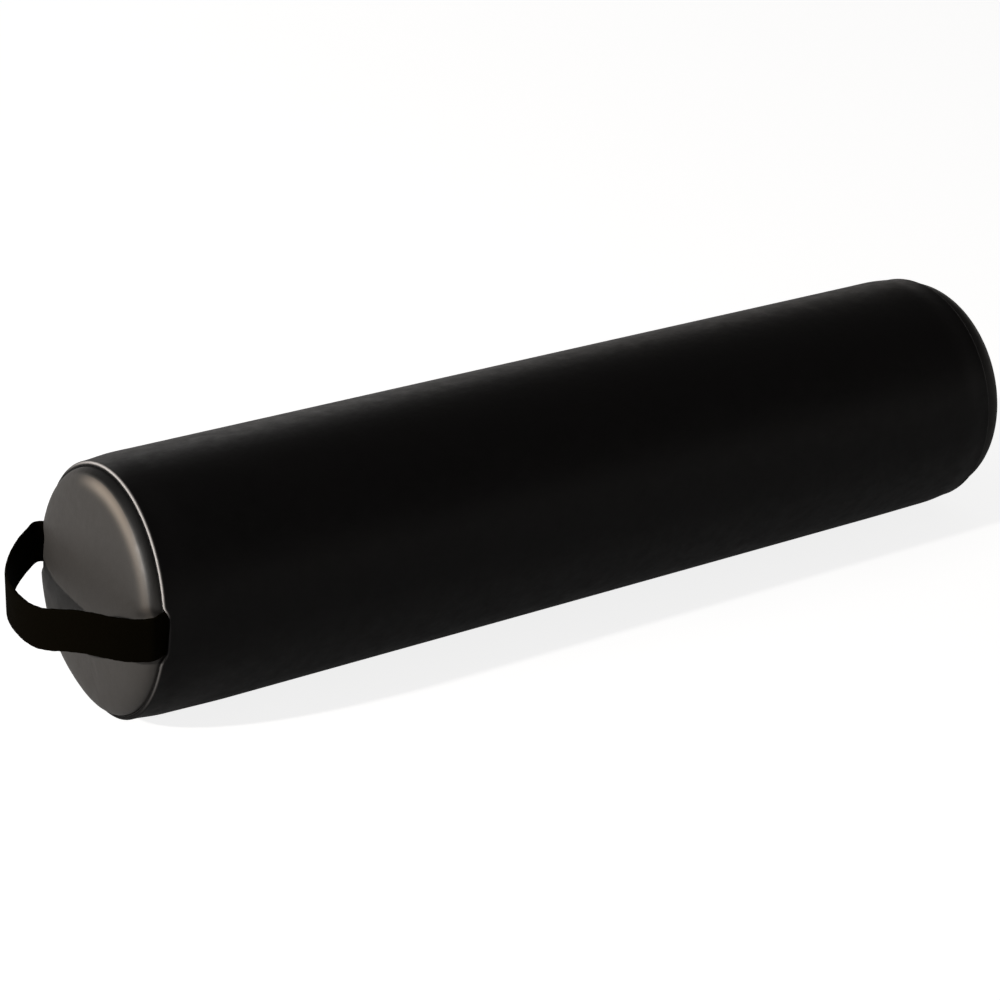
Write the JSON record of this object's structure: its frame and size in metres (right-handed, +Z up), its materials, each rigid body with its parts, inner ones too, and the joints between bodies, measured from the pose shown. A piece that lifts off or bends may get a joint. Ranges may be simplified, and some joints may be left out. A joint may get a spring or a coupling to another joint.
{
  "type": "round massage bolster",
  "caption": "Round foam massage bolster in a sewn vinyl cover with crowned ends, a bowed webbing handle at one end and a closing zip along the back.",
  "frame": {"origin": "centre of the flat that the bolster rests on, midway between its two end seams", "axes": "+X along the bolster, away from the handle; -Y is the front, +Y the back, where the zip runs; +Z up, and -Z out of the resting flat"},
  "size_m": [0.7093, 0.1618, 0.1585],
  "materials": {
    "foam": "matte",
    "wadding": "matte",
    "body_vinyl": "satin",
    "end_vinyl": "satin",
    "thread": "matte",
    "webbing": "matte",
    "zip_tape": "matte",
    "zip_coil": "satin",
    "zip_metal": "satin"
  },
  "bodies": {
    "bolster": {"foam_core": "foam", "wadding_wrap": "wadding", "end_pad_handle": "wadding", "end_pad_far": "wadding", "cover_body": "body_vinyl", "cover_end_far": "body_vinyl", "cover_end_handle": "end_vinyl", "seam_thread_far": "thread", "seam_thread_handle_upper": "thread", "seam_thread_handle_lower": "thread", "handle_tack_front": "thread", "handle_tack_back": "thread", "zip_thread_upper": "thread", "zip_thread_lower": "thread", "handle_flex_front": "webbing", "handle_flex_back": "webbing", "handle_tail_front": "webbing", "handle_tail_back": "webbing", "zip_tape_upper": "zip_tape", "zip_tape_lower": "zip_tape", "zip_coil_upper": "zip_coil", "zip_coil_lower": "zip_coil", "zip_top_stop_upper": "zip_metal", "zip_top_stop_lower": "zip_metal", "zip_bottom_stop": "zip_metal"},
    "handle": {"handle_strap": "webbing"},
    "slider": {"zip_slider": "zip_metal"},
    "pull_tab": {"zip_pull_tab": "zip_metal"}
  },
  "joints": [
    {"name": "handle_swing", "type": "hinge", "parent": "bolster", "child": "handle", "pos_m": [-0.31975, 0, 0.0828], "axis": [0, 1, 0], "range_deg": [-25, 45], "stiffness_Nm_per_rad": 0.03, "deforming": ["handle_flex_front", "handle_flex_back"]},
    {"name": "zip_slide", "type": "slide", "parent": "bolster", "child": "slider", "axis": [-1, 0, 0], "range_m": [0, 0.4802]},
    {"name": "tab_turn", "type": "hinge", "parent": "slider", "child": "pull_tab", "pos_m": [0.2401, 0.08096, 0.079], "axis": [0, 0, -1], "range_deg": [0, 172]}
  ]
}
